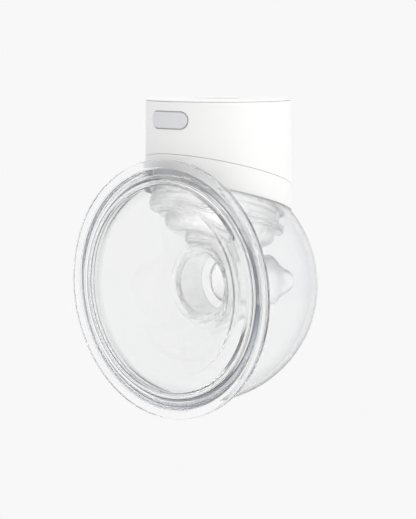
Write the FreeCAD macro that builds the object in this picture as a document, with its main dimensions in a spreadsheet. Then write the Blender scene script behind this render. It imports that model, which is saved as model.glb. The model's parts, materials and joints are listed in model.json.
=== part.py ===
import FreeCAD, Part
import os
import re
import Sketcher
from FreeCAD import Placement, Rotation, Vector

# Wearable breast pump. Row frame: origin at the start of the nipple tunnel's bore, +Z up,
# -Y towards the wearer, +X to the pump's right seen from the wearer's side. Millimetres.
# The motor unit and the milk collector meet on a plane tilted back by neck_tilt.

SIZES = {
    # soft breast flange
    "tunnel_radius": 12.0,
    "tunnel_outer_radius": 13.2,
    "tunnel_length": 14.0,
    "flange_radius": 51.2,
    "lip_thickness": 2.5,
    "lip_round": 0.6,
    "flange_depth": 21.5,
    "crown_radius": 38.2,
    "crown_rise": 1.7,
    "mouth_radius": 15.0,
    "skirt_outer_radius": 46.7,
    "skirt_inner_radius": 44.6,
    "plug_radius": 40.9,
    "plug_end_y": -16.7,
    # clear milk collector
    "bowl_radius": 47.1,
    "bowl_wall": 2.0,
    "bowl_centre_y": -1.2,
    "bowl_edge_y": -19.5,
    "neck_tilt": 16.0,
    "neck_radius": 26.6,
    "rebate_radius": 27.5,
    "rebate_depth": 1.0,
    # clear linker
    "cup_radius": 26.3,
    "cup_wall": 1.4,
    "cup_depth": 9.5,
    "dish_radius": 22.5,
    "dish_depth": 16.0,
    "dish_mouth_radius": 19.4,
    "dish_setback": 5.0,
    "disc_radius": 25.8,
    "step_setback": 7.5,
    "step_radius": 14.7,
    "step_depth": 19.5,
    "socket_radius": 16.2,
    "socket_bore": 13.5,
    "socket_front_y": 1.9,
    "socket_back_y": 16.5,
    "elbow_y": 14.2,
    "outlet_angle": 48.7,
    "outlet_radius": 9.6,
    "outlet_bore": 8.0,
    "outlet_length": 17.2,
    "duct_radius": 4.2,
    "duct_bore": 2.5,
    "duct_y": 17.0,
    # soft duckbill valve, measured along the outlet
    "valve_radius": 11.4,
    "valve_start": 13.0,
    "valve_shoulder": 17.6,
    "beak_start": 23.4,
    "beak_tip": 29.3,
    "beak_height": 9.4,
    # motor unit shell
    "motor_y": 10.3,
    "neck_z": 34.57,
    "foot_z": 24.0,
    "foot_radius": 29.6,
    "top_radius": 29.0,
    "top_z": 74.2,
    "shell_wall": 1.8,
    "seam_rise": 10.0,
    "seam_gap": 0.15,
    "cover_thickness": 2.4,
    "cover_edge": 0.55,
    "spigot_radius": 23.0,
    "spigot_depth": 4.9,
    # charging port and its soft cover
    "port_z": 66.4,
    "pill_half_height": 3.1,
    "pill_half_straight": 6.2,
    "pill_shift": -1.2,
    "pill_gap": 0.5,
    "pill_outer_radius": 29.5,
    "pill_inner_radius": 28.2,
    # top keys
    "key_radius": 4.15,
    "power_key_radius": 5.2,
    "key_spread": 15.5,
    "key_gap": 0.15,
    "key_top": 74.15,
    "key_foot": 71.0,
    # stack under the cover, as heights
    "membrane_z": 69.4,
    "board_z": 63.4,
    "board_top": 64.8,
    "board_radius": 24.6,
    "tray_z": 57.0,
    "tray_thickness": 1.4,
    "tray_radius": 26.8,
    "boss_ring": 21.5,
    "leg_x": 19.0,
    "leg_y": -6.5,
    # vacuum pump lying across the unit
    "pump_y": 7.7,
    "pump_z": 45.3,
    "pump_radius": 10.0,
    "can_radius": 9.0,
    "shaft_radius": 1.0,
    "line_x": 14.5,
    "line_y": -13.5,
}

doc = FreeCAD.newDocument("breast_pump")
sheet = doc.addObject("Spreadsheet::Sheet", "Sizes")
for row, (alias, value) in enumerate(SIZES.items(), start=1):
    sheet.set(f"A{row}", alias.replace("_", " "))
    sheet.set(f"B{row}", str(value))
    sheet.setAlias(f"B{row}", alias)
doc.recompute()

finished = []


def rule(text):
    """Point every size name in a rule at the sheet."""
    return re.sub(r"[a-z][a-z_]*[a-z]", lambda m: "Sizes." + m[0] if m[0] in SIZES else m[0], str(text))


def number(text):
    found = sheet.evalExpression(rule(text))
    return float(getattr(found, "Value", found))


def bind(item, prop, text):
    item.setExpression(prop, rule(text))


def place(item, x=0, y=0, z=0, axis=(0, 0, 1), turn=0):
    """Stand an item at a point, turned about an axis; a turn may be a rule."""
    item.Placement = Placement(Vector(0, 0, 0), Rotation(Vector(*axis), number(turn)))
    bind(item, "Placement.Base.x", x)
    bind(item, "Placement.Base.y", y)
    bind(item, "Placement.Base.z", z)
    return item


def lay(item, along, x=0, y=0, z=0):
    """Place an item with its own Z axis along x, y or z."""
    axis, turn = {"x": ((0, 1, 0), 90), "y": ((1, 0, 0), -90), "z": ((0, 0, 1), 0)}[along]
    return place(item, x, y, z, axis, turn)


def cylinder(name, radius, length, along="z", x=0, y=0, z=0):
    item = doc.addObject("Part::Cylinder", name)
    bind(item, "Radius", radius)
    bind(item, "Height", length)
    return lay(item, along, x, y, z)


def cone(name, low_radius, high_radius, length, along="z", x=0, y=0, z=0):
    item = doc.addObject("Part::Cone", name)
    bind(item, "Radius1", low_radius)
    bind(item, "Radius2", high_radius)
    bind(item, "Height", length)
    return lay(item, along, x, y, z)


def sphere(name, radius, x=0, y=0, z=0):
    item = doc.addObject("Part::Sphere", name)
    bind(item, "Radius", radius)
    return place(item, x, y, z)


def block(name, wide, deep, high, x=0, y=0, z=0):
    """Box centred on x and y, standing on z."""
    item = doc.addObject("Part::Box", name)
    bind(item, "Length", wide)
    bind(item, "Width", deep)
    bind(item, "Height", high)
    return place(item, f"{x} - ({wide}) / 2", f"{y} - ({deep}) / 2", z)


def fuse(name, *items):
    item = doc.addObject("Part::MultiFuse", name)
    item.Shapes = list(items)
    return item


def cut(name, base, *tools):
    item = doc.addObject("Part::Cut", name)
    item.Base = base
    item.Tool = tools[0] if len(tools) == 1 else fuse(name + "_away", *tools)
    return item


def common(name, first, second):
    item = doc.addObject("Part::MultiCommon", name)
    item.Shapes = [first, second]
    return item


def turned(name, points):
    """Solid of revolution about Z. Each point is (radius, height), or for an arc
    (radius, height, via_radius, via_height) with a second point the arc passes through."""
    sketch = doc.addObject("Sketcher::SketchObject", name + "_profile")
    sketch.Placement = Placement(Vector(0, 0, 0), Rotation(Vector(1, 0, 0), 90))
    corners = [Vector(number(p[0]), number(p[1]), 0) for p in points]
    ends = []
    for index, point in enumerate(points):
        before = corners[index - 1]
        here = corners[index]
        if len(point) == 2:
            side = sketch.addGeometry(Part.LineSegment(before, here))
            ends.append((side, 1, 2))
            continue
        via = Vector(number(point[2]), number(point[3]), 0)
        side = sketch.addGeometry(Part.Arc(before, via, here))
        forwards = sketch.getPoint(side, 1).distanceToPoint(before) < 1e-6
        ends.append((side, 1, 2) if forwards else (side, 2, 1))
        middle = sketch.addGeometry(Part.Point(via), True)
        pin(sketch, middle, 1, point[2], point[3])
        sketch.addConstraint(Sketcher.Constraint("PointOnObject", middle, 1, side))
    for index, point in enumerate(points):
        side, _, finish = ends[index]
        following, start, _ = ends[(index + 1) % len(points)]
        sketch.addConstraint(Sketcher.Constraint("Coincident", side, finish, following, start))
        pin(sketch, side, finish, point[0], point[1])
    item = doc.addObject("Part::Revolution", name)
    item.Source = sketch
    item.Axis = Vector(0, 0, 1)
    item.Base = Vector(0, 0, 0)
    item.Angle = 360
    item.Solid = True
    return item


def pin(sketch, side, end, across, up):
    """Hold one sketch point at a pair of ruled coordinates."""
    for kind, text in (("DistanceX", across), ("DistanceY", up)):
        index = sketch.addConstraint(Sketcher.Constraint(kind, side, end, number(text)))
        sketch.setExpression(f"Constraints[{index}]", rule(text))


def keep(item, label, frame="row"):
    """Name a finished piece and seat it in its frame."""
    item.Label = label
    if frame == "motor":
        place(item, 0, "motor_y", 0)
    if frame == "neck":
        place(item, 0, "motor_y", "neck_z", (1, 0, 0), "-neck_tilt")
    if frame == "outlet":
        turn = Rotation(Vector(0, 0, 1), -number("outlet_angle")) * Rotation(Vector(1, 0, 0), -90)
        item.Placement = Placement(Vector(0, 0, 0), turn)
        bind(item, "Placement.Base.y", "elbow_y")
    finished.append(item)
    return item


def pill(name, half_straight, half_height, deep, y, z, x=0):
    """Upright stadium plate on the front of the motor unit, thickness running back along Y."""
    middle = block(name + "_middle", f"2 * ({half_straight})", deep, f"2 * ({half_height})",
                   x, f"{y} + ({deep}) / 2", f"{z} - ({half_height})")
    ends = [cylinder(f"{name}_end_{side}", half_height, deep, "y", f"{x} + {sign} * ({half_straight})", y, z)
            for side, sign in (("left", -1), ("right", 1))]
    return fuse(name, middle, *ends)


def taper(name, inset, low, high):
    """Slice of the motor unit's slightly tapered round form between two heights."""
    slope = "(foot_radius - top_radius) / (top_z - foot_z)"
    low_radius = f"foot_radius - ({inset}) - {slope} * ({low} - foot_z)"
    high_radius = f"foot_radius - ({inset}) - {slope} * ({high} - foot_z)"
    return cone(name, low_radius, high_radius, f"({high}) - ({low})", "z", 0, 0, low)


def tilted_slab(name, low, high, y=0):
    """Wide slab parallel to the neck plane, between two distances from it, in the motor frame."""
    item = doc.addObject("Part::Box", name)
    bind(item, "Length", "120")
    bind(item, "Width", "120")
    bind(item, "Height", f"({high}) - ({low})")
    back = f"({y} - 60 * cos(neck_tilt) + ({low}) * sin(neck_tilt))"
    rise = f"(neck_z + 60 * sin(neck_tilt) + ({low}) * cos(neck_tilt))"
    return place(item, "-60", back, rise, (1, 0, 0), "-neck_tilt")


# ---------------------------------------------------------------- milk side

def flange():
    rim = "-flange_depth"
    lip = "-flange_depth - 0.4"
    lip_back = "-flange_depth - 0.4 + lip_thickness"
    skin = turned("flange_skin", [
        ("tunnel_radius", 0),
        ("mouth_radius", "-2.4", "tunnel_radius + 0.9", "-1.7"),
        ("crown_radius - 4.2", f"{rim} + 0.3", "25.0", "-12.7"),
        ("crown_radius + 4.2", f"{rim} - 0.4", "crown_radius", f"{rim} - crown_rise"),
        ("flange_radius - lip_round", lip),
        ("flange_radius", f"{lip} + lip_round",
         "flange_radius - 0.293 * lip_round", f"{lip} + 0.293 * lip_round"),
        ("flange_radius", f"{lip_back} - lip_round"),
        ("flange_radius - lip_round", lip_back,
         "flange_radius - 0.293 * lip_round", f"{lip_back} - 0.293 * lip_round"),
        ("skirt_outer_radius", f"{lip_back} - 0.8"),
        ("skirt_outer_radius", "-17.2"),
        ("skirt_inner_radius", "-17.2"),
        ("skirt_inner_radius", "bowl_edge_y - 0.3"),
        ("plug_radius", "bowl_edge_y - 0.3"),
        ("plug_radius", "plug_end_y"),
        ("plug_radius - 1.8", "plug_end_y"),
        ("plug_radius - 1.8", f"{rim} + 0.9"),
        ("crown_radius - 3.2", f"{rim} + 2.0", "crown_radius - 1.0", f"{rim} + 0.7"),
        ("mouth_radius + 1.5", "-0.8", "26.0", "-11.5"),
        ("tunnel_outer_radius", "1.6"),
        ("tunnel_outer_radius", "tunnel_length"),
        ("tunnel_radius", "tunnel_length"),
    ])
    lay(skin, "y")
    round_space = cylinder("motor_clearance", "foot_radius + 0.35", "80", "z", 0, "motor_y", 0)
    above_neck = tilted_slab("motor_clearance_side", "-0.5", "70", "motor_y")
    keep(cut("flange_solid", skin, common("motor_space", round_space, above_neck)), "flange")


def milk_collector():
    outside = sphere("bowl_outside", "bowl_radius", 0, "bowl_centre_y", 0)
    inside = sphere("bowl_inside", "bowl_radius - bowl_wall", 0, "bowl_centre_y", 0)
    front = block("bowl_front", "120", "60", "120", 0, "bowl_edge_y - 30", "-60")
    top = tilted_slab("bowl_top", "-seam_gap", "40", "motor_y")
    neck = cylinder("bowl_neck", "neck_radius", "12")
    rebate = cylinder("bowl_rebate", "rebate_radius", "rebate_depth + 2")
    place(rebate, 0, 0, "-rebate_depth - seam_gap")
    opening = fuse("bowl_opening", place(neck, 0, 0, "-10"), rebate)
    place(opening, 0, "motor_y", "neck_z", (1, 0, 0), "-neck_tilt")
    keep(cut("collector_solid", outside, inside, front, top, opening), "milk_collector")


def linker_cup():
    """Lipped cup that takes the motor unit's seal, open upwards, its floor open to the dish."""
    floor = "-cup_depth + 1.5"
    cup = turned("linker_cup", [
        ("rebate_radius - 0.2", "-seam_gap - 0.1"),
        ("rebate_radius - 0.2", "-rebate_depth - seam_gap"),
        ("cup_radius", "-rebate_depth - seam_gap"),
        ("cup_radius", floor),
        ("0", floor),
        ("0", f"{floor} + cup_wall"),
        ("cup_radius - cup_wall", f"{floor} + cup_wall"),
        ("cup_radius - cup_wall", "-seam_gap - 0.1"),
    ])
    return in_neck(cup, 0)


def linker_dish():
    """Disc and round dish below the cup, set back from the neck's axis to clear the funnel."""
    disc = turned("linker_disc", [
        ("0", "-dish_depth"),
        ("dish_radius - 5.0", "-dish_depth"),
        ("dish_radius", "-dish_depth + 5.0", "dish_radius - 1.4", "-dish_depth + 1.5"),
        ("dish_radius", "-cup_depth"),
        ("disc_radius - 0.8", "-cup_depth"),
        ("disc_radius", "-cup_depth + 0.8", "disc_radius - 0.25", "-cup_depth + 0.25"),
        ("disc_radius", "-cup_depth + 2.4"),
        ("disc_radius - 0.6", "-cup_depth + 2.9"),
        ("0", "-cup_depth + 2.9"),
    ])
    step = turned("linker_step", [
        ("0", "-step_depth"),
        ("step_radius - 2.0", "-step_depth"),
        ("step_radius", "-step_depth + 2.0", "step_radius - 0.6", "-step_depth + 0.6"),
        ("step_radius", "-dish_depth + 1.0"),
        ("0", "-dish_depth + 1.0"),
    ])
    return fuse("linker_lower", in_neck(disc, "dish_setback"), in_neck(step, "step_setback"))


def linker_hollow():
    inner = "dish_radius - 1.6"
    dish = turned("linker_dish_hollow", [
        ("0", "-dish_depth + 1.6"),
        (f"{inner} - 3.6", "-dish_depth + 1.6"),
        (inner, "-dish_depth + 5.2", f"{inner} - 1.05", "-dish_depth + 2.65"),
        (inner, "-cup_depth + 0.6"),
        ("dish_mouth_radius", "-cup_depth + 1.6"),
        ("dish_mouth_radius", "-cup_depth + 3.2"),
        ("0", "-cup_depth + 3.2"),
    ])
    step = cylinder("linker_step_hollow", "step_radius - 2.2", 4.0, "z", 0, 0, 0)
    in_neck(step, "step_setback", "-step_depth + 2.7")
    return fuse("linker_hollow", in_neck(dish, "dish_setback"), step)


def in_neck(item, back, up=0):
    """Seat an item along the neck's tilted axis, set back down the slope and raised along it."""
    y = f"motor_y + ({back}) * cos(neck_tilt) + ({up}) * sin(neck_tilt)"
    z = f"neck_z - ({back}) * sin(neck_tilt) + ({up}) * cos(neck_tilt)"
    return place(item, 0, y, z, (1, 0, 0), "-neck_tilt")


def toward_outlet(item, distance):
    """Point an item's Z axis along the slanted outlet, a distance from the elbow."""
    turn = Rotation(Vector(0, 0, 1), -number("outlet_angle")) * Rotation(Vector(1, 0, 0), -90)
    item.Placement = Placement(Vector(0, 0, 0), turn)
    bind(item, "Placement.Base.x", f"({distance}) * sin(outlet_angle)")
    bind(item, "Placement.Base.y", f"elbow_y + ({distance}) * cos(outlet_angle)")
    return item


def linker():
    cup = linker_cup()
    dish = linker_dish()
    hollow = linker_hollow()
    socket_length = "socket_back_y - socket_front_y"
    socket = cylinder("linker_socket", "socket_radius", socket_length, "y", 0, "socket_front_y", 0)
    elbow = sphere("linker_elbow", "outlet_radius", 0, "elbow_y", 0)
    spout = toward_outlet(cylinder("linker_spout", "outlet_radius", "outlet_length"), 0)
    collar = toward_outlet(cylinder("linker_collar", "valve_radius", "1.0"), "valve_start - 1.3")
    duct = cylinder("linker_duct", "duct_radius", "12.0", "z", 0, "duct_y", "4.0")
    socket_bore = cylinder("linker_socket_bore", "socket_bore", "40", "y", 0, "tunnel_length + 0.6 - 40", 0)
    elbow_bore = sphere("linker_elbow_bore", "outlet_bore", 0, "elbow_y", 0)
    spout_bore = toward_outlet(cylinder("linker_spout_bore", "outlet_bore", "30"), 0)
    duct_bore = cylinder("linker_duct_bore", "duct_bore", "13.0", "z", 0, "duct_y", "4.0")
    whole = fuse("linker_whole", cup, dish, socket, elbow, spout, collar, duct)
    keep(cut("linker_solid", whole, hollow, socket_bore, elbow_bore, spout_bore, duct_bore), "linker")


def duckbill_valve():
    skin = turned("valve_skin", [
        ("valve_radius", "valve_start"),
        ("valve_radius", "valve_shoulder"),
        ("5.6", "beak_start + 0.6", "valve_radius - 2.1", "valve_shoulder + 4.6"),
        ("0", "beak_start + 0.6"),
        ("0", "beak_start - 1.0"),
        ("4.4", "beak_start - 1.0"),
        ("outlet_radius - 1.3", "valve_shoulder", "valve_radius - 3.8", "valve_shoulder + 3.4"),
        ("outlet_radius + 0.15", "valve_shoulder"),
        ("outlet_radius + 0.15", "valve_start"),
    ])
    bill = doc.addObject("Part::Wedge", "valve_bill")
    throat = doc.addObject("Part::Wedge", "valve_throat")
    for item, half_low, half_tip, half_high in ((bill, 4.2, 0.8, "beak_height / 2"),
                                               (throat, 3.2, 0.12, "beak_height / 2 - 0.9")):
        bind(item, "Xmin", -half_low)
        bind(item, "Xmax", half_low)
        bind(item, "Zmin", f"-({half_high})")
        bind(item, "Zmax", half_high)
        bind(item, "Ymin", 0)
        bind(item, "Ymax", "beak_tip - beak_start + 1.2")
        bind(item, "X2min", -half_tip)
        bind(item, "X2max", half_tip)
        bind(item, "Z2min", f"-({half_high})")
        bind(item, "Z2max", half_high)
        place(item, 0, 0, "beak_start - 1.2", (1, 0, 0), 90)
    body = fuse("valve_body", skin, bill)
    keep(cut("valve_solid", body, throat), "duckbill_valve", "outlet")


def diaphragm():
    """Thin rim clamped under the seal, with a dome hanging into the dish."""
    rim = turned("diaphragm_rim", [
        ("0", "-5.6"),
        ("0", "-6.5"),
        ("cup_radius - cup_wall - 0.3", "-6.5"),
        ("cup_radius - cup_wall - 0.3", "-5.6"),
    ])
    opening = place(cylinder("diaphragm_opening", 18.4, 4.0), 0, "dish_setback", -8)
    dome = turned("diaphragm_dome", [
        ("19.1", "-5.6"),
        ("17.8", "-5.6"),
        ("14.0", "-12.0", "17.3", "-9.9"),
        ("0", "-12.6"),
        ("0", "-13.9"),
        ("14.4", "-13.3"),
        ("19.1", "-6.5", "18.6", "-10.8"),
    ])
    body = fuse("diaphragm_body", cut("diaphragm_ring", rim, opening), place(dome, 0, "dish_setback", 0))
    keep(body, "diaphragm", "neck")


# ---------------------------------------------------------------- motor unit shell

def base_shell():
    outside = common("base_outside", taper("base_taper", 0, "foot_z", 60),
                     tilted_slab("base_slab", 0, "seam_rise - seam_gap"))
    inside = common("base_inside", taper("base_hollow", "shell_wall", "foot_z", 62),
                    tilted_slab("base_floor_top", 2.1, 30))
    spigot = turned("base_spigot", [("spigot_radius - 1.0", "0.6"), ("spigot_radius - 1.0", "-spigot_depth"),
                                    ("spigot_radius", "-spigot_depth"), ("spigot_radius", "0.6")])
    place(spigot, 0, 0, "neck_z", (1, 0, 0), "-neck_tilt")
    nozzle = cylinder("base_nozzle", 1.5, 5.4, "z", "line_x", "line_y", 39.6)
    bosses = [cylinder(f"base_boss_{side}", 2.0, 2.6, "z", f"{sign} * leg_x", "leg_y", 37.2)
              for side, sign in (("left", -1), ("right", 1))]
    bottom = tilted_slab("base_below", -20, 0)
    raised = cut("base_raised", fuse("base_stubs", nozzle, *bosses), bottom)
    nozzle_bore = cylinder("base_nozzle_bore", 0.8, 30, "z", "line_x", "line_y", 25)
    pockets = [cylinder(f"base_pocket_{side}", 1.8, 11.6, "z", f"{sign} * leg_x", "leg_y", 27)
               for side, sign in (("left", -1), ("right", 1))]
    holes = [cylinder(f"base_screw_hole_{side}", 0.9, 20, "z", f"{sign} * leg_x", "leg_y", 27)
             for side, sign in (("left", -1), ("right", 1))]
    body = fuse("base_body", cut("base_cup", outside, inside), spigot, raised)
    keep(cut("base_solid", body, nozzle_bore, *pockets, *holes), "base_shell", "motor")


def base_seal():
    keep(turned("seal_solid", [
        ("spigot_radius + 0.05", "-0.5"),
        ("spigot_radius + 1.1", "-0.5"),
        ("spigot_radius + 1.6", "-1.6"),
        ("spigot_radius + 1.1", "-2.7"),
        ("spigot_radius + 1.6", "-3.8"),
        ("spigot_radius + 1.1", "-5.5"),
        ("spigot_radius - 1.1", "-5.5"),
        ("spigot_radius - 1.1", "-spigot_depth - 0.05"),
        ("spigot_radius + 0.05", "-spigot_depth - 0.05"),
    ]), "base_seal", "neck")


def housing():
    outside = common("housing_outside", taper("housing_taper", 0, "foot_z", "top_z - cover_edge - seam_gap"),
                     tilted_slab("housing_slab", "seam_rise", 60))
    hollow = taper("housing_hollow", "shell_wall", "foot_z", "top_z")
    wide = pill("recess_plate", "pill_half_straight", "pill_half_height + pill_gap", 12,
                -36, "port_z", "pill_shift")
    core = cylinder("recess_core", "pill_inner_radius - 0.1", 60, "z", 0, 0, 20)
    recess = cut("recess", wide, core)
    slot = pill("port_slot", 3.1, 1.8, 12, -33, "port_z")
    keep(cut("housing_solid", outside, hollow, recess, slot), "housing", "motor")


def top_cover():
    under = "top_z - cover_thickness"
    plate = turned("cover_plate", [
        ("0", under),
        ("25.6", under),
        ("25.6", f"{under} - 1.6"),
        ("26.9", f"{under} - 1.6"),
        ("26.9", "top_z - cover_edge"),
        ("top_radius", "top_z - cover_edge"),
        ("top_radius", "top_z - 0.45"),
        ("top_radius - 0.45", "top_z", "top_radius - 0.13", "top_z - 0.13"),
        ("0", "top_z"),
    ])
    holes = [cylinder(f"cover_hole_{name}", f"{size} + key_gap", 5, "z", x, y, f"{under} - 1")
             for name, size, x, y in KEYS]
    window = block("cover_window", 16.3, 9.3, 3, 0, 0, "top_z - 1.1")
    sight = block("cover_sight", 13.6, 6.6, 5, 0, 0, f"{under} - 1")
    keep(cut("cover_solid", plate, window, sight, *holes), "top_cover", "motor")


KEYS = [
    ("power_button", "power_key_radius", "0", "key_spread"),
    ("mode_button", "key_radius", "0", "-key_spread"),
    ("level_up_button", "key_radius", "key_spread + 1", "0"),
    ("level_down_button", "key_radius", "-key_spread - 1", "0"),
]


def keys():
    for name, size, x, y in KEYS:
        cap = turned(name + "_cap", [
            ("0", "key_foot"),
            (f"{size} + 0.7", "key_foot"),
            (f"{size} + 0.7", "key_foot + 0.55"),
            (size, "key_foot + 0.55"),
            (size, "key_top - 0.3"),
            (f"{size} - 0.3", "key_top"),
            ("0", "key_top"),
        ])
        keep(cap, name)
        place(cap, x, f"motor_y + {y}", 0)


def display():
    lens = block("lens_block", 16, 9, 1.0, 0, 0, "key_top - 1.0")
    lens_foot = block("lens_foot", 13.3, 6.3, 0.9, 0, 0, "key_top - 1.6")
    keep(fuse("lens_solid", lens, lens_foot), "display_lens", "motor")
    panel = block("panel_block", 13.0, 7.4, 6.8, 0, 0, "board_top + 0.05")
    panel_feet = block("panel_feet", 11, 8.4, 1.0, 0, 0, "board_top + 0.05")
    keep(fuse("panel_solid", panel, panel_feet), "display_panel", "motor")


def keypad_membrane():
    sheet_disc = cylinder("membrane_disc", 25.2, 0.5, "z", 0, 0, "membrane_z")
    pads = [cone(f"membrane_pad_{name}", 3.2, 2.6, 0.9, "z", x, y, "membrane_z + 0.2")
            for name, _, x, y in KEYS]
    gap = block("membrane_gap", 14.5, 9.5, 4, 0, 0, "membrane_z - 1")
    body = fuse("membrane_body", sheet_disc, *pads)
    keep(cut("membrane_solid", body, gap), "keypad_membrane", "motor")


BOSSES = [("side", "boss_ring", "0"),
          ("back", "-boss_ring / 2", "boss_ring * 0.866"),
          ("front", "-boss_ring / 2", "-boss_ring * 0.866")]


def control_board():
    disc = cylinder("board_disc", "board_radius", "board_top - board_z", "z", 0, 0, "board_z")
    holes = [cylinder(f"board_hole_{name}", 1.1, 4, "z", x, y, "board_z - 1") for name, x, y in BOSSES]
    chip = block("board_chip", 5, 5, 1.0, 9.5, 9.5, "board_top - 0.1")
    driver = block("board_driver", 4, 5, 1.2, -9.5, 9.0, "board_top - 0.1")
    coil = cylinder("board_coil", 2.4, 2.0, "z", 9.5, -9.5, "board_top - 0.1")
    body = fuse("board_body", disc, chip, driver, coil)
    keep(cut("board_solid", body, *holes), "control_board", "motor")


def tactile_switches():
    pieces = []
    for name, _, x, y in KEYS:
        pieces.append(block(f"switch_case_{name}", 4.5, 4.5, 2.4, x, y, "board_top + 0.05"))
        pieces.append(cylinder(f"switch_stem_{name}", 1.2, 4.3, "z", x, y, "board_top + 0.1"))
    keep(fuse("switches_solid", *pieces), "tactile_switches", "motor")


def usb_socket():
    case = pill("socket_case", 2.9, 1.6, 7.3, -25.4, "port_z")
    hollow = pill("socket_hollow", 2.9, 1.3, 6.3, -25.6, "port_z")
    tongue = block("socket_tongue", 6.7, 5.6, 0.7, 0, "-21.9", "port_z - 0.35")
    keep(fuse("socket_solid", cut("socket_can", case, hollow), tongue), "usb_socket", "motor")


def port_cover():
    plate = pill("cover_pill", "pill_half_straight", "pill_half_height", 12, -36, "port_z", "pill_shift")
    ring = cut("cover_ring", cylinder("cover_ring_out", "pill_outer_radius", 20, "z", 0, 0, 56),
               cylinder("cover_ring_in", "pill_inner_radius", 20, "z", 0, 0, 56))
    plug = pill("cover_plug", 2.5, 1.45, 3.2, -29.2, "port_z")
    keep(fuse("port_cover_solid", common("cover_cap", plate, ring), plug), "port_cover", "motor")


def battery():
    keep(block("battery_solid", 34, 29, 4.4, 0, "motor_y + 1", "tray_z + tray_thickness + 0.1"), "battery")


def chassis():
    floor = cylinder("tray_floor", "tray_radius", "tray_thickness", "z", 0, 0, "tray_z")
    wall = cylinder("tray_wall", "tray_radius", "membrane_z - tray_z - 0.05", "z", 0, 0, "tray_z")
    hollow = cylinder("tray_hollow", "tray_radius - 1.3", 20, "z", 0, 0, "tray_z + tray_thickness")
    bosses = [cylinder(f"tray_boss_{name}", 2.2, "board_z - tray_z - 0.1", "z", x, y, "tray_z + 0.05")
              for name, x, y in BOSSES]
    pilots = [cylinder(f"tray_pilot_{name}", 0.75, 12, "z", x, y, "tray_z + 1") for name, x, y in BOSSES]
    legs = [cylinder(f"tray_leg_{side}", 2.0, "tray_z - 39.6", "z", f"{sign} * leg_x", "leg_y", 39.9)
            for side, sign in (("left", -1), ("right", 1))]
    bores = [cylinder(f"tray_leg_bore_{side}", 0.7, 9, "z", f"{sign} * leg_x", "leg_y", 39)
             for side, sign in (("left", -1), ("right", 1))]
    port = block("tray_port", 12, 8, 20, 0, -26, "tray_z + tray_thickness + 4")
    wires = block("tray_wires", 8, 3, 6, 0, 20.5, "tray_z - 1")
    shell = cut("tray_shell", fuse("tray_body", floor, wall), hollow)
    whole = fuse("tray_whole", shell, *bosses, *legs)
    keep(cut("tray_solid", whole, port, wires, *pilots, *bores), "chassis", "motor")


def screws():
    shell_screws = []
    slots = []
    for side, sign in (("left", -1), ("right", 1)):
        x = f"{sign} * leg_x"
        shell_screws.append(cylinder(f"shell_screw_head_{side}", 1.6, 1.1, "z", x, "leg_y", 37.45))
        shell_screws.append(cylinder(f"shell_screw_shank_{side}", 0.65, 8.5, "z", x, "leg_y", 38.5))
        slots.append(block(f"shell_screw_slot_{side}", 0.5, 2.4, 0.6, x, "leg_y", 37.3))
    body = fuse("shell_screws_body", *shell_screws)
    keep(cut("shell_screws_solid", body, *slots), "housing_screws", "motor")
    small = []
    for name, x, y in BOSSES:
        small.append(cylinder(f"board_screw_head_{name}", 1.8, 1.0, "z", x, y, "board_top + 0.05"))
        small.append(cylinder(f"board_screw_shank_{name}", 0.7, 5.0, "z", x, y, "board_top - 4.9"))
    keep(fuse("board_screws_solid", *small), "board_screws", "motor")


# ---------------------------------------------------------------- vacuum pump

def rod(name, radius, start, end):
    """Cylinder on the pump's own axis, between two distances along X."""
    return cylinder(name, radius, f"({end}) - ({start})", "x", start, "pump_y", "pump_z")


def pump_motor():
    case = fuse("can_body", rod("can", "can_radius", -19.5, 2.0), rod("can_cap", 3.2, -20.4, -19.0))
    keep(cut("can_solid", case, rod("can_bore", "shaft_radius + 0.05", -8, 4)), "pump_motor", "motor")
    sleeve_out = rod("sleeve_out", "pump_radius - 0.1", -17, -2)
    sleeve_in = rod("sleeve_in", "can_radius + 0.03", -18, 0)
    keep(cut("sleeve_solid", sleeve_out, sleeve_in), "motor_sleeve", "motor")


def rotor():
    shaft = cylinder("shaft_solid", "shaft_radius", 13.9, "x", -7.5, "motor_y + pump_y", "pump_z")
    keep(shaft, "motor_shaft")
    disc = rod("eccentric_disc", 4.4, 3.4, 6.0)
    crank = cylinder("eccentric_pin", 0.9, 3.6, "x", 5.8, "pump_y", "pump_z + 2.2")
    bore = rod("eccentric_bore", "shaft_radius + 0.02", 2, 6.5)
    keep(cut("eccentric_solid", fuse("eccentric_body", disc, crank), bore), "eccentric", "motor")


def pump_head():
    shell = cut("head_shell", rod("head_out", "pump_radius", 2.2, 13.0),
                rod("head_in", "pump_radius - 1.1", 3.2, 14))
    keep(cut("head_solid", shell, rod("head_eye", "shaft_radius + 0.3", 1, 5)), "pump_head", "motor")
    plate = fuse("wobble_body", rod("wobble_disc", 8.2, 10.4, 11.4), rod("wobble_hub", 4.6, 7.0, 10.6))
    keep(cut("wobble_solid", plate, rod("wobble_eye", 3.4, 6, 10.0)), "wobble_plate", "motor")
    web = rod("pump_web", 8.6, 11.5, 12.3)
    cups = [cylinder(f"pump_cup_{n}", 2.9, 1.9, "x",
                     12.2, f"pump_y + 4.6 * cos({angle})", f"pump_z + 4.6 * sin({angle})")
            for n, angle in ((1, 90), (2, 210), (3, 330))]
    keep(fuse("pump_web_solid", web, *cups), "pump_diaphragm", "motor")
    cap = cut("cap_shell", rod("cap_out", "pump_radius", 13.1, 18.6),
              rod("cap_in", "pump_radius - 1.3", 12, 17.2))
    port = cylinder("cap_port", 1.5, 6.0, "y", "line_x", "pump_y - pump_radius - 3.6", "pump_z")
    port_bore = cylinder("cap_port_bore", 0.8, 8.0, "y", "line_x", "pump_y - pump_radius - 5", "pump_z")
    keep(cut("cap_solid", fuse("cap_body", cap, port), port_bore), "head_cover", "motor")


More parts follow.
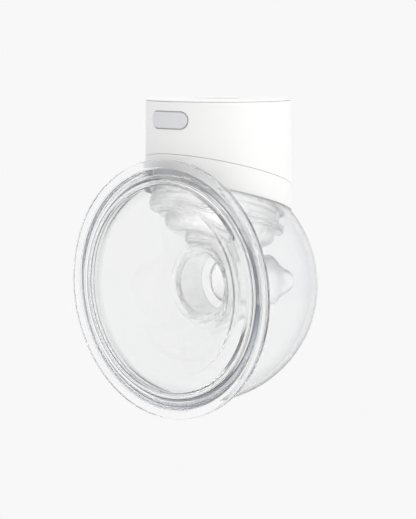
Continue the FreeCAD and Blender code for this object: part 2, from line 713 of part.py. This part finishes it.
def air_line():
    post = cylinder("tee_post", 2.4, 5.5, "z", "line_x", "line_y", "pump_z - 2.9")
    back = cylinder("tee_back", 1.5, 5.0, "y", "line_x", "line_y", "pump_z")
    side = cylinder("tee_side", 1.5, 5.0, "x", "line_x - 5.0", "line_y", "pump_z")
    fit = cylinder("tee_fit", 1.55, 3.2, "z", "line_x", "line_y", "pump_z - 3.2")
    way = cylinder("tee_way", 0.8, 9.0, "y", "line_x", "line_y", "pump_z + 0.6")
    side_way = cylinder("tee_side_way", 0.8, 9.0, "x", "line_x - 9.0", "line_y", "pump_z + 0.6")
    body = fuse("tee_body", post, place_up(back, 0.6), place_up(side, 0.6))
    keep(cut("tee_solid", body, fit, way, side_way), "t_connector", "motor")
    tube_start = "line_y + 2.6"
    tube_end = "pump_y - pump_radius - 1.2"
    hose("pump_tube", "y", "line_x", tube_start, f"({tube_end}) - ({tube_start})")
    hose("valve_tube", "x", "7.0", "line_y", "line_x - 7.0 - 2.6")


def place_up(item, rise):
    """Lift an item a little from the height it was laid at."""
    bind(item, "Placement.Base.z", f"pump_z + {rise}")
    return item


def hose(name, along, x, y, length):
    outer = cylinder(name + "_out", 2.3, length, along, x, y, "pump_z + 0.3")
    start = (x, "-40") if along == "y" else ("-20", y)
    inner = cylinder(name + "_in", 1.85, 60, along, *start, "pump_z + 0.3")
    keep(cut(name + "_solid", outer, inner), name, "motor")


def release_valve():
    case = block("valve_case", 13, 9, 10.5, -1.5, "line_y", 43.2)
    spout = cylinder("valve_spout", 1.5, 4.0, "x", 4.8, "line_y", "pump_z + 0.6")
    chamber = cylinder("valve_chamber", 2.1, 9.0, "x", -7.0, "line_y", 48.5)
    spout_bore = cylinder("valve_spout_bore", 0.7, 12.0, "x", 1.0, "line_y", "pump_z + 0.6")
    body = fuse("valve_case_body", case, spout)
    keep(cut("valve_case_solid", body, chamber, spout_bore), "release_valve", "motor")
    keep(cylinder("plunger_solid", 2.0, 6.0, "x", -6.6, "motor_y + line_y", 48.5), "valve_plunger")


flange()
milk_collector()
linker()
duckbill_valve()
diaphragm()
base_shell()
base_seal()
housing()
top_cover()
keys()
display()
keypad_membrane()
control_board()
tactile_switches()
usb_socket()
port_cover()
battery()
chassis()
screws()
pump_motor()
rotor()
pump_head()
air_line()
release_valve()
doc.recompute()

for item in doc.Objects:
    if "Invalid" in item.State or "Error" in item.State:
        raise RuntimeError(f"{item.Name} failed: {item.State}")
for item in finished:
    if item.Shape.isNull() or not item.Shape.isValid():
        raise RuntimeError(f"{item.Label} has no valid shape")

os.makedirs("parts", exist_ok=True)
for item in finished:
    item.Shape.exportStep(f"parts/{item.Label}.step")
    box = item.Shape.BoundBox
    solids = len(item.Shape.Solids)
    print(f"{item.Label:18s} solids {solids} volume {item.Shape.Volume:10.1f}"
          f" x {box.XMin:7.2f} {box.XMax:7.2f} y {box.YMin:7.2f} {box.YMax:7.2f}"
          f" z {box.ZMin:7.2f} {box.ZMax:7.2f}")
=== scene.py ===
import json
import math

import bmesh
import bpy
from mathutils import Matrix, Vector

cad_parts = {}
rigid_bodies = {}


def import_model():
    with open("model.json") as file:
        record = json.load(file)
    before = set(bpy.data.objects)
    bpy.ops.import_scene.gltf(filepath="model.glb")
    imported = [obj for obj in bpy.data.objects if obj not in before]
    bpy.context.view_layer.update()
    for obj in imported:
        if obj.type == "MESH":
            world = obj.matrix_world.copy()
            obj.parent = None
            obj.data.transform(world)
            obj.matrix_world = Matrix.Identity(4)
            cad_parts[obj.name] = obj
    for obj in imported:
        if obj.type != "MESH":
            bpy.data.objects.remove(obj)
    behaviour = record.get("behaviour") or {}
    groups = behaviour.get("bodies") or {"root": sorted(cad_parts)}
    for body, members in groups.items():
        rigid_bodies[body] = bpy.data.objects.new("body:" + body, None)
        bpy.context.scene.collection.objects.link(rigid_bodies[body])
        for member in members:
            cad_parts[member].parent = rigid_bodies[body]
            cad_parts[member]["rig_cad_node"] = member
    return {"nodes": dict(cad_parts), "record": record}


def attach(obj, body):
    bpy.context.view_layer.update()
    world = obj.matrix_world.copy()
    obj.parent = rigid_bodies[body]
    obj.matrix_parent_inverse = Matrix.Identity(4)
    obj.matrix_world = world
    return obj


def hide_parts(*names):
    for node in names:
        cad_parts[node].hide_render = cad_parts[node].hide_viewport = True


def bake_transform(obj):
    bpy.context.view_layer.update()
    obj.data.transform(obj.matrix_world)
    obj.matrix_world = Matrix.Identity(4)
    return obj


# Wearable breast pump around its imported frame. Lengths are millimetres until they reach a mesh, and the
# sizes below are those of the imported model.

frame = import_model()
NODES = frame["nodes"]
SLOTS = {part["node"]: part["material_slot"] for part in frame["record"]["subparts"]}
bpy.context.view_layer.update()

MM = 0.001
RING = 160                      # segments round a turned piece
FINE_RING = 192                 # the same for the bowl and its neck
FLANGE_RING = 240
VALVE_RING = 96
FLOOR_RING = 96

# motor unit and the neck it stands on
TILT = math.radians(16.0)       # the neck plane leans back by this much
MOTOR_Y = 10.3
NECK_Z = 34.57
FOOT_RADIUS = 29.6
NECK_RADIUS = 26.6
REBATE_RADIUS = 27.5
REBATE_DEPTH = 1.0
SEAM_GAP = 0.15
MOTOR_CLEARANCE = 0.35
# bowl
BOWL_RADIUS = 47.1
BOWL_WALL = 2.0
BOWL_RIM_WALL = 0.9
BOWL_TAPER = 9.0                # length of the stretch that thins toward the rim
BOWL_Y = -1.2
BOWL_EDGE_Y = -19.5
# valve outlet and diaphragm
ELBOW_Y = 14.2
OUTLET_TURN = math.radians(48.7)
CUP_SETBACK = 5.0               # the diaphragm's cup hangs this far back from the neck's axis

VIEW_TURN = math.radians(40.86)
VIEW_RISE = math.radians(7.02)
VIEW_DISTANCE = 700.0
VIEW_TARGET = (2.70, 0.83, 10.26)
VIEW_LENS = 121.46
FLOOR_Z = -250.0
FLOOR_RADIUS = 1300.0
BACKDROP = (0.939, 0.939, 0.939)
SIDE_SHADE = (0.82, 0.83, 0.85)
CLEAR_DEPTH = (0.62, 0.66, 0.70)    # colour that clear parts take in their thickness
MILKY_DEPTH = (0.75, 0.77, 0.80)

MOTOR = Matrix.Translation((0, MOTOR_Y, 0))
NECK = Matrix.Translation((0, MOTOR_Y, NECK_Z)) @ Matrix.Rotation(-TILT, 4, "X")
TUNNEL = Matrix.Rotation(math.radians(-90), 4, "X")
OUTLET = (Matrix.Translation((0, ELBOW_Y, 0)) @ Matrix.Rotation(-OUTLET_TURN, 4, "Z")
          @ Matrix.Rotation(math.radians(-90), 4, "X"))


# ---------------------------------------------------------------- outlines and meshes

def arc(start, via, end, steps):
    """Points from start to end along the circle through via, without the start itself."""
    (ax, ay), (bx, by), (cx, cy) = start, via, end
    a2, b2, c2 = ax * ax + ay * ay, bx * bx + by * by, cx * cx + cy * cy
    divisor = 2 * (ax * (by - cy) + bx * (cy - ay) + cx * (ay - by))
    ox = (a2 * (by - cy) + b2 * (cy - ay) + c2 * (ay - by)) / divisor
    oy = (a2 * (cx - bx) + b2 * (ax - cx) + c2 * (bx - ax)) / divisor
    radius = math.hypot(ax - ox, ay - oy)
    first = math.atan2(ay - oy, ax - ox)
    middle = (math.atan2(by - oy, bx - ox) - first) % math.tau
    last = (math.atan2(cy - oy, cx - ox) - first) % math.tau
    sweep = last if middle < last else last - math.tau
    angles = [first + sweep * n / steps for n in range(1, steps + 1)]
    return [(ox + radius * math.cos(angle), oy + radius * math.sin(angle)) for angle in angles]


def rounded(corners, steps=5, closed=True):
    """Outline with a fillet at each corner given as (across, up, fillet); (across, up) stays sharp."""
    outline = []
    count = len(corners)
    for index, corner in enumerate(corners):
        here = Vector(corner[:2])
        fillet = corner[2] if len(corner) > 2 else 0
        at_end = not closed and index in (0, count - 1)
        if not fillet or at_end:
            outline.append(tuple(here))
            continue
        before = Vector(corners[index - 1][:2])
        after = Vector(corners[(index + 1) % count][:2])
        back = (before - here).normalized()
        on = (after - here).normalized()
        half = back.angle(on) / 2
        reach = min(fillet / math.tan(half), 0.48 * (before - here).length, 0.48 * (after - here).length)
        radius = reach * math.tan(half)
        centre = here + (back + on).normalized() * (radius / math.sin(half))
        one, two = here + back * reach - centre, here + on * reach - centre
        turn = math.atan2(one.x * two.y - one.y * two.x, one.dot(two))
        for n in range(steps + 1):
            angle = turn * n / steps
            spoke = Vector((one.x * math.cos(angle) - one.y * math.sin(angle),
                            one.x * math.sin(angle) + one.y * math.cos(angle)))
            outline.append(tuple(centre + spoke))
    return outline


def make(name, mesh, body, slot, *nodes, finish=None):
    """Turn a mesh in millimetres into the piece that stands for CAD nodes. A piece that in the pump
    bends between two bodies is given no body and is not made to bend. The finish is the slot's own
    unless another is named."""
    mesh.transform(Matrix.Scale(MM, 4))
    piece = bpy.data.objects.new(name, mesh)
    bpy.context.scene.collection.objects.link(piece)
    if body:
        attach(piece, body)
    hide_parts(*nodes)
    paint(piece, finish or slot)
    return piece


def finished(work, name, place):
    """Mesh of the faces in work, their normals outward, placed in the row frame."""
    bmesh.ops.recalc_face_normals(work, faces=work.faces)
    mesh = bpy.data.meshes.new(name)
    work.to_mesh(mesh)
    work.free()
    mesh.transform(place)
    return mesh


def lathe(outline, place, ring=RING, closed=True):
    """Mesh turned about the local Z axis from (radius, height) points, then placed in the row frame."""
    work = bmesh.new()
    rings = []
    spokes = [(math.cos(math.tau * n / ring), math.sin(math.tau * n / ring)) for n in range(ring)]
    for radius, height in outline:
        if radius < 1e-6:
            rings.append([work.verts.new((0, 0, height))])
        else:
            rings.append([work.verts.new((radius * x, radius * y, height)) for x, y in spokes])
    pairs = list(zip(rings, rings[1:] + rings[:1])) if closed else list(zip(rings, rings[1:]))
    for low, high in pairs:
        for n in range(ring):
            m = (n + 1) % ring
            corners = [low[n % len(low)], low[m % len(low)], high[m % len(high)], high[n % len(high)]]
            corners = [v for i, v in enumerate(corners) if v not in corners[:i]]
            if len(corners) > 2:
                work.faces.new(corners)
    return finished(work, "turned", place)


def prism(outline, low, high, place):
    """Mesh of a flat outline of (across, up) points, stood between two heights along local Z."""
    work = bmesh.new()
    floor = [work.verts.new((x, y, low)) for x, y in outline]
    roof = [work.verts.new((x, y, high)) for x, y in outline]
    work.faces.new(floor)
    work.faces.new(roof)
    for n in range(len(outline)):
        m = (n + 1) % len(outline)
        work.faces.new([floor[n], floor[m], roof[m], roof[n]])
    return finished(work, "prism", place)


def carve(mesh, *tools, how="DIFFERENCE"):
    """Result of a boolean between meshes, all in the row frame."""
    scene = bpy.context.scene
    body = bpy.data.objects.new("carve_body", mesh)
    scene.collection.objects.link(body)
    cutters = []
    for tool in tools:
        cutter = bpy.data.objects.new("carve_tool", tool)
        scene.collection.objects.link(cutter)
        cutters.append(cutter)
        step = body.modifiers.new("carve", "BOOLEAN")
        step.operation = how
        step.solver = "EXACT"
        step.object = cutter
    bpy.context.view_layer.update()
    result = bpy.data.meshes.new_from_object(body.evaluated_get(bpy.context.evaluated_depsgraph_get()))
    for item in [body, *cutters]:
        bpy.data.objects.remove(item)
    return result


def soften(piece, angle=32):
    """Smooth shading with true flats, sharp only where faces meet at more than the angle."""
    mesh = piece.data
    if "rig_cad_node" not in piece:
        mesh.shade_smooth()
        mesh.set_sharp_from_angle(angle=math.radians(angle))
    weights = piece.modifiers.new("true_flats", "WEIGHTED_NORMAL")
    weights.keep_sharp = True
    weights.weight = 90
    return piece


# ---------------------------------------------------------------- materials

def blank(name, colour, roughness, **sockets):
    """New material with plain values on its surface shader's own sockets."""
    made = bpy.data.materials.new(name)
    made.use_nodes = True
    surface = made.node_tree.nodes["Principled BSDF"]
    surface.inputs["Base Color"].default_value = (*colour, 1)
    surface.inputs["Roughness"].default_value = roughness
    for socket, value in sockets.items():
        surface.inputs[socket.replace("_", " ")].default_value = value
    return made, made.node_tree, surface


def grain(tree, size, stretch=(1, 1, 1)):
    """Noise over the object, its features about size millimetres across."""
    where = tree.nodes.new("ShaderNodeTexCoord")
    fit = tree.nodes.new("ShaderNodeMapping")
    fit.inputs["Scale"].default_value = stretch
    noise = tree.nodes.new("ShaderNodeTexNoise")
    noise.inputs["Scale"].default_value = 1 / (size * MM)
    noise.inputs["Detail"].default_value = 3
    tree.links.new(where.outputs["Object"], fit.inputs["Vector"])
    tree.links.new(fit.outputs["Vector"], noise.inputs["Vector"])
    return noise.outputs["Fac"]


def spread(tree, source, low, high, target):
    """Run a noise between two plain values into a socket."""
    fit = tree.nodes.new("ShaderNodeMapRange")
    fit.inputs["From Min"].default_value = 0.3
    fit.inputs["From Max"].default_value = 0.7
    fit.inputs["To Min"].default_value = low
    fit.inputs["To Max"].default_value = high
    tree.links.new(source, fit.inputs["Value"])
    tree.links.new(fit.outputs["Result"], target)


def tint(tree, source, first, last, target, start=0.3, end=0.7):
    """Run a source between two colours into a colour socket."""
    ramp = tree.nodes.new("ShaderNodeValToRGB")
    ramp.color_ramp.elements[0].position = start
    ramp.color_ramp.elements[0].color = (*first, 1)
    ramp.color_ramp.elements[1].position = end
    ramp.color_ramp.elements[1].color = (*last, 1)
    tree.links.new(source, ramp.inputs["Fac"])
    tree.links.new(ramp.outputs["Color"], target)


def relief(tree, source, surface, depth):
    """Bump of a depth in millimetres."""
    bump = tree.nodes.new("ShaderNodeBump")
    bump.inputs["Strength"].default_value = 1.0
    bump.inputs["Distance"].default_value = depth * MM
    tree.links.new(source, bump.inputs["Height"])
    tree.links.new(bump.outputs["Normal"], surface.inputs["Normal"])


def clear(name, index, rough, ripple, deep, density, clarity, skin=(1, 1, 1), painted_limb_shade=None):
    """Clear moulded part: faint ripple (in millimetres) and gloss change in the skin, and a deep colour in
    its thickness. A skin colour greyer than white is painted shade; where a limb colour is given, painted
    shade darkens the skin toward the edges that turn away from view."""
    made, tree, surface = blank(name, (1, 1, 1), rough, Transmission_Weight=clarity, IOR=index)
    fine = grain(tree, 9)
    spread(tree, fine, rough * 0.6, rough * 1.6, surface.inputs["Roughness"])
    # painted shade: the Layer Weight facing darkens the skin toward the part's edges, standing in for the
    # darker limb of the bowl
    if painted_limb_shade:
        slant = tree.nodes.new("ShaderNodeLayerWeight")
        tint(tree, slant.outputs["Facing"], skin, painted_limb_shade, surface.inputs["Base Color"], 0.55, 0.97)
    else:
        # the skin colour with a faint random change in tone; a skin greyer than white is painted shade
        tint(tree, grain(tree, 25), tuple(c * 0.996 for c in skin), skin, surface.inputs["Base Color"])
    relief(tree, fine, surface, ripple)
    volume = tree.nodes.new("ShaderNodeVolumeAbsorption")
    volume.inputs["Color"].default_value = (*deep, 1)
    volume.inputs["Density"].default_value = density
    tree.links.new(volume.outputs["Volume"], tree.nodes["Material Output"].inputs["Volume"])
    return made


def moulded(name, colour, change, rough, size, depth, stretch=(1, 1, 1), **sockets):
    """Opaque plastic, rubber or metal: fine grain of a size and depth in millimetres, and a slight
    change in colour and gloss."""
    made, tree, surface = blank(name, colour, rough, **sockets)
    fine = grain(tree, size, stretch)
    broad = grain(tree, 18)
    dark = tuple(c * (1 - change) for c in colour)
    tint(tree, broad, dark, colour, surface.inputs["Base Color"])
    spread(tree, fine, rough * 0.8, rough * 1.25, surface.inputs["Roughness"])
    relief(tree, fine, surface, depth)
    return made


MATERIALS = {
    "clear_silicone": clear("clear_silicone", 1.41, 0.04, 0.004, CLEAR_DEPTH, 4, 0.97),
    # painted shade: the flange's skirt faces take this greyer, less clear silicone, its grey skin standing
    # in for the shade in the band round the bowl's edge
    "skirt_shade_silicone": clear("skirt_shade_silicone", 1.41, 0.10, 0.004, CLEAR_DEPTH, 4, 0.84, (0.95, 0.955, 0.97)),
    # painted shade: the bowl's skin darkens to the limb colour toward its edges
    "clear_plastic": clear("clear_plastic", 1.49, 0.008, 0.002, CLEAR_DEPTH, 20, 0.98,
                           painted_limb_shade=(0.60, 0.61, 0.63)),
    "linker_plastic": clear("linker_plastic", 1.45, 0.12, 0.003, MILKY_DEPTH, 6, 0.87),
    "milky_silicone": clear("milky_silicone", 1.41, 0.3, 0.004, MILKY_DEPTH, 4, 0.5),
    "thin_silicone": clear("thin_silicone", 1.36, 0.5, 0.004, MILKY_DEPTH, 1, 0.7),
    "grey_silicone": moulded("grey_silicone", (0.30, 0.30, 0.31), 0.08, 0.55, 0.5, 0.01),
    "light_grey_silicone": moulded("light_grey_silicone", (0.72, 0.72, 0.73), 0.04, 0.36, 0.35, 0.02,
                                   (0.06, 1, 1)),
    "white_housing": moulded("white_housing", (0.87, 0.863, 0.852), 0.01, 0.42, 0.3, 0.004),
    "white_gloss": moulded("white_gloss", (0.88, 0.88, 0.88), 0.01, 0.12, 6, 0.002, Coat_Weight=0.4),
    "dark_window": moulded("dark_window", (0.03, 0.03, 0.035), 0.1, 0.08, 8, 0.001, Coat_Weight=0.5),
    "black_plastic": moulded("black_plastic", (0.03, 0.03, 0.03), 0.15, 0.45, 0.4, 0.01),
    "grey_plastic": moulded("grey_plastic", (0.22, 0.23, 0.24), 0.08, 0.45, 0.4, 0.01),
    "board_green": moulded("board_green", (0.02, 0.14, 0.06), 0.2, 0.35, 0.6, 0.01),
    "battery_wrap": moulded("battery_wrap", (0.55, 0.56, 0.58), 0.08, 0.3, 2.5, 0.02, Metallic=0.6),
    "steel": moulded("steel", (0.55, 0.55, 0.56), 0.08, 0.34, 0.25, 0.004, (1, 12, 12), Metallic=1.0),
    "bright_steel": moulded("bright_steel", (0.7, 0.7, 0.71), 0.05, 0.2, 0.25, 0.003, (1, 8, 8),
                            Metallic=1.0),
    "brass": moulded("brass", (0.72, 0.52, 0.22), 0.1, 0.28, 0.3, 0.004, (8, 1, 1), Metallic=1.0),
}


def paint(piece, finish):
    """Leave a piece with one material."""
    piece.data.materials.clear()
    piece.data.materials.append(MATERIALS[finish])


def keep_cad(*names, edge=0.0):
    """Give CAD nodes their finish, with soft edges where an edge width in millimetres is given."""
    for name in names:
        node = NODES[name]
        paint(node, SLOTS[name])
        if edge:
            bevel = node.modifiers.new("soft_edges", "BEVEL")
            bevel.width = edge * MM
            bevel.segments = 3
            bevel.limit_method = "ANGLE"
            bevel.angle_limit = math.radians(40)
        soften(node)


# ---------------------------------------------------------------- milk side

def motor_space():
    """Space the motor unit needs above the neck plane, in the row frame."""
    radius = FOOT_RADIUS + MOTOR_CLEARANCE
    top, side, roof = 90, 80, 70
    column = lathe([(0, 0), (radius, 0), (radius, top), (0, top)], MOTOR, closed=False)
    square = [(-side, -side), (side, -side), (side, side), (-side, side)]
    return carve(column, prism(square, -MOTOR_CLEARANCE, roof, NECK), how="INTERSECT")


def flange():
    """Soft funnel and tunnel: crown, lip, the skirt round the bowl's edge and the ring inside it."""
    funnel_front = arc((15.4, -2.2), (25.0, -12.7), (33.8, -21.0), 14)
    crown = arc((33.8, -21.0), (38.2, -23.2), (42.6, -22.1), 14)
    funnel_back = arc((35.0, -19.5), (26.0, -11.5), (16.5, -0.8), 14)
    crown_back = arc((40.5, -20.7), (38.0, -21.1), (35.0, -19.5), 8)
    outline = rounded([
        (12.0, 14.0, 0.4), (12.0, 0.0, 1.6), (13.8, -2.4, 0.9), (15.4, -2.2),
        *funnel_front, *crown,
        (44.2, -21.5, 0.8), (47.6, -21.5, 0.6), (48.6, -21.9, 0.6), (51.2, -21.9, 0.6), (51.2, -19.4, 0.6),
        (48.7, -19.4, 0.6), (47.4, -20.1, 0.4), (47.4, -17.2, 0.7), (46.1, -17.2, 0.4), (45.0, -20.0, 0.9),
        (42.1, -20.2, 0.9), (42.3, -17.9, 0.5), (41.2, -17.9, 0.4), (40.5, -20.7),
        *crown_back, *funnel_back,
        (13.2, 1.6, 0.8), (13.2, 14.0, 0.4),
    ])
    mesh = carve(lathe(outline, TUNNEL, FLANGE_RING), motor_space())
    piece = soften(make("flange_skin", mesh, "flange_body", "clear_silicone", "flange"))
    # painted shade: faces of the skirt round the bowl's edge take the greyer silicone to darken that band
    piece.data.materials.append(MATERIALS["skirt_shade_silicone"])
    skirt_in, skirt_out, skirt_y = 44.7, 47.8, -20.2
    for face in piece.data.polygons:
        out = math.hypot(face.center.x, face.center.z) / MM
        if skirt_in < out < skirt_out and face.center.y / MM > skirt_y:
            face.material_index = 1


def milk_collector():
    """Round bowl, its wall thinner over the last stretch to the rim."""
    inner = BOWL_RADIUS - BOWL_WALL
    edge = BOWL_EDGE_Y - BOWL_Y
    mouth = math.sqrt(BOWL_RADIUS ** 2 - edge ** 2)
    waist_y = BOWL_EDGE_Y + BOWL_TAPER
    waist = math.sqrt(inner ** 2 - (waist_y - BOWL_Y) ** 2)
    half = math.sqrt(0.5)
    outside = arc((mouth, BOWL_EDGE_Y + 0.4), (BOWL_RADIUS, BOWL_Y), (0, BOWL_Y + BOWL_RADIUS), 64)
    inside = arc((0, BOWL_Y + inner), (inner * half, BOWL_Y + inner * half), (waist, waist_y), 64)
    rim = rounded([(waist, waist_y), (mouth - BOWL_RIM_WALL, BOWL_EDGE_Y, 0.4), (mouth, BOWL_EDGE_Y, 0.4),
                   (mouth, BOWL_EDGE_Y + 0.4)], closed=False)
    outline = [*rim, *outside, (0, BOWL_Y + inner), *inside[:-1]]
    outline = [(max(r, 0), y) for r, y in outline]
    rebate = -REBATE_DEPTH - SEAM_GAP
    neck = [(0, -10), (NECK_RADIUS, -10), (NECK_RADIUS, rebate), (REBATE_RADIUS, rebate),
            (REBATE_RADIUS, -SEAM_GAP), (80, -SEAM_GAP), (80, 60), (0, 60)]
    mesh = carve(lathe(outline, TUNNEL, FINE_RING), lathe(neck, NECK, FINE_RING, closed=False))
    soften(make("collector_bowl", mesh, "collector", "clear_plastic", "milk_collector"))


def duckbill_valve():
    """Skirt, dome and flat bill: rings that pass from a circle to a slit and back down the inside."""
    def ring_at(z, half_wide, half_high, square):
        power = 2 / (2 + 3 * square)
        points = []
        for n in range(VALVE_RING):
            angle = math.tau * n / VALVE_RING
            c, s = math.cos(angle), math.sin(angle)
            points.append((half_wide * math.copysign(abs(c) ** power, c),
                           half_high * math.copysign(abs(s) ** power, s), z))
        return points
    outer = [(13.0, 11.2), (13.2, 11.4), (15.0, 11.4), (17.4, 11.35), (19.0, 10.9), (20.6, 9.9), (22.0, 8.4),
             (23.0, 6.9)]
    rings = [ring_at(z, r, r, 0) for z, r in outer]
    bill = [(23.8, 5.3, 6.0), (24.8, 4.2, 5.3), (26.0, 3.1, 4.6), (27.2, 2.1, 3.9), (28.2, 1.3, 3.0),
            (28.8, 0.6, 1.8)]
    rings += [ring_at(z, wide, high, min(1, (z - 23.4) / 3)) for z, wide, high in bill]
    hollow = [(28.5, 0.08, 1.5), (27.4, 0.9, 2.9), (25.6, 2.5, 3.9), (23.6, 4.1, 5.0)]
    rings += [ring_at(z, wide, high, min(1, (z - 23.2) / 3)) for z, wide, high in hollow]
    inner = [(22.3, 5.9), (21.0, 7.8), (19.4, 9.2), (17.7, 9.8), (13.0, 9.85)]
    rings += [ring_at(z, r, r, 0) for z, r in inner]
    work = bmesh.new()
    loops = [[work.verts.new(p) for p in ring] for ring in rings]
    for low, high in zip(loops, loops[1:] + loops[:1]):
        for n in range(VALVE_RING):
            m = (n + 1) % VALVE_RING
            work.faces.new([low[n], low[m], high[m], high[n]])
    mesh = finished(work, "valve", OUTLET)
    piece = make("valve_skin", mesh, "collector", "milky_silicone", "duckbill_valve", finish="thin_silicone")
    soften(piece, 50)
    return piece


def diaphragm():
    """Thin clamped rim with a hanging cup, built as one still piece with no body. In the pump the rim
    stays in the linker while the cup's floor is drawn up.
    """
    off_centre = NECK @ Matrix.Translation((0, CUP_SETBACK, 0))
    rim = rounded([(0, -6.5), (24.6, -6.5, 0.3), (24.6, -5.6, 0.3), (0, -5.6)], closed=False)
    hole = [(0, -8), (18.4, -8), (18.4, -4), (0, -4)]
    ring = carve(lathe(rim, NECK, closed=False), lathe(hole, off_centre, closed=False))
    inside = arc((14.0, -12.0), (17.3, -9.9), (17.8, -5.6), 24)
    outside = arc((19.1, -6.5), (18.6, -10.8), (14.4, -13.3), 24)
    ribs = [(6.0, -12.6), (6.6, -12.35), (7.2, -12.6), (9.6, -12.5), (10.2, -12.25), (10.8, -12.45)]
    cup = [(0, -12.6), *ribs, (14.0, -12.0), *inside, (19.1, -5.6), (19.1, -6.5), *outside, (0, -13.9)]
    mesh = carve(ring, lathe(cup, off_centre, closed=False), how="UNION")
    piece = soften(make("diaphragm_skin", mesh, None, "milky_silicone", "diaphragm"), 40)
    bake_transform(piece)
    return piece


def studio_world():
    """Pale surroundings: even to the camera, a little darker overhead and to the sides of the set."""
    world = bpy.data.worlds.new("studio")
    bpy.context.scene.world = world
    world.use_nodes = True
    tree = world.node_tree
    where = tree.nodes.new("ShaderNodeTexCoord")
    along = tree.nodes.new("ShaderNodeVectorMath")
    along.operation = "DOT_PRODUCT"
    along.inputs[1].default_value = (math.sin(VIEW_TURN), -math.cos(VIEW_TURN), 0)
    tree.links.new(where.outputs["Generated"], along.inputs[0])
    aside = tree.nodes.new("ShaderNodeMath")
    aside.operation = "ABSOLUTE"
    tree.links.new(along.outputs["Value"], aside.inputs[0])
    shade = tree.nodes.new("ShaderNodeValToRGB")
    shade.color_ramp.interpolation = "EASE"
    dim, bright = shade.color_ramp.elements
    dim.position = 0.35
    dim.color = (*SIDE_SHADE, 1)
    bright.position = 0.92
    bright.color = (*BACKDROP, 1)
    tree.links.new(aside.outputs["Value"], shade.inputs["Fac"])
    back = tree.nodes["Background"]
    tree.links.new(shade.outputs["Color"], back.inputs["Color"])
    flat = tree.nodes.new("ShaderNodeBackground")
    flat.inputs["Color"].default_value = (*BACKDROP, 1)
    path = tree.nodes.new("ShaderNodeLightPath")
    mix = tree.nodes.new("ShaderNodeMixShader")
    tree.links.new(path.outputs["Is Camera Ray"], mix.inputs["Fac"])
    tree.links.new(back.outputs["Background"], mix.inputs[1])
    tree.links.new(flat.outputs["Background"], mix.inputs[2])
    tree.links.new(mix.outputs["Shader"], tree.nodes["World Output"].inputs["Surface"])


def floor():
    """Round pale floor some way under the pump, as bright as the backdrop."""
    mesh = lathe([(0, 0), (FLOOR_RADIUS, 0)], Matrix.Translation((0, 0, FLOOR_Z)), FLOOR_RING, closed=False)
    mesh.transform(Matrix.Scale(MM, 4))
    disc = bpy.data.objects.new("floor", mesh)
    bpy.context.scene.collection.objects.link(disc)
    made, tree, surface = blank("floor_paper", (0, 0, 0), 0.9, Specular_IOR_Level=0.0,
                                Emission_Strength=1.0)
    darker = tuple(c * 0.997 for c in BACKDROP)
    tint(tree, grain(tree, 60), darker, BACKDROP, surface.inputs["Emission Color"])
    disc.data.materials.append(made)


def toward(turn, rise):
    """Direction from the pump to a place turned round it from the front and raised above it."""
    return Vector((math.sin(turn) * math.cos(rise), -math.cos(turn) * math.cos(rise), math.sin(rise)))


def panel(name, azimuth, elevation, distance, wide, high, radiance, only=()):
    """Soft light panel that faces the pump: its direction in degrees, its distance and sides in metres,
    its brightness as radiance. One that is only for some pieces lights them through the clear parts."""
    data = bpy.data.lights.new(name, "AREA")
    data.shape = "RECTANGLE"
    data.size = wide
    data.size_y = high
    data.energy = radiance * math.pi * wide * high
    data.use_shadow = not only
    away = toward(math.radians(azimuth), math.radians(elevation))
    lamp = bpy.data.objects.new(name, data)
    bpy.context.scene.collection.objects.link(lamp)
    lamp.location = Vector((0, 0, 0.02)) + away * distance
    lamp.rotation_mode = "QUATERNION"
    lamp.rotation_quaternion = away.to_track_quat("Z", "Y")
    lamp.visible_glossy = False
    lamp.visible_transmission = False
    if only:
        lamp.light_linking.receiver_collection = bpy.data.collections.new(name + "_receivers")
        for piece in only:
            lamp.light_linking.receiver_collection.objects.link(piece)


def camera():
    """Camera in front of the pump and to its right, a little above the tunnel."""
    target = Vector(VIEW_TARGET) * MM
    back = toward(VIEW_TURN, VIEW_RISE)
    data = bpy.data.cameras.new("camera")
    data.lens = VIEW_LENS
    data.clip_start = 0.01
    shot = bpy.data.objects.new("camera", data)
    bpy.context.scene.collection.objects.link(shot)
    shot.location = target + back * VIEW_DISTANCE * MM
    shot.rotation_mode = "QUATERNION"
    shot.rotation_quaternion = back.to_track_quat("Z", "Y")
    bpy.context.scene.camera = shot


flange()
milk_collector()
valve_skin = duckbill_valve()
diaphragm_skin = diaphragm()
keep_cad("linker", "base_seal", edge=0.25)
paint(NODES["linker"], "linker_plastic")
keep_cad("housing", "base_shell", "top_cover", "port_cover", edge=0.3)
keep_cad("power_button", "mode_button", "level_up_button", "level_down_button", edge=0.2)
keep_cad("display_lens", "display_panel", "keypad_membrane", "control_board", "tactile_switches",
         "usb_socket", "battery", "chassis", "housing_screws", "board_screws", "pump_motor", "motor_sleeve",
         "motor_shaft", "eccentric", "pump_head", "wobble_plate", "pump_diaphragm", "head_cover",
         "t_connector", "pump_tube", "valve_tube", "release_valve", "valve_plunger")
studio_world()
floor()
panel("fill_right", 100, 22, 1.4, 1.5, 1.5, 1.1)
panel("top_soft", 20, 75, 1.1, 0.7, 0.7, 1.2)
milk_parts = [NODES["linker"], NODES["base_seal"], diaphragm_skin, valve_skin]
panel("inside_front", 40, -32, 1.0, 0.8, 0.8, 5.0, only=milk_parts)
panel("inside_back", 215, -10, 1.0, 0.8, 0.8, 3.0, only=milk_parts)
camera()

scene = bpy.context.scene
scene.view_settings.view_transform = "Standard"
scene.cycles.max_bounces = 80
scene.cycles.transmission_bounces = 80
scene.cycles.glossy_bounces = 40
scene.cycles.transparent_max_bounces = 16
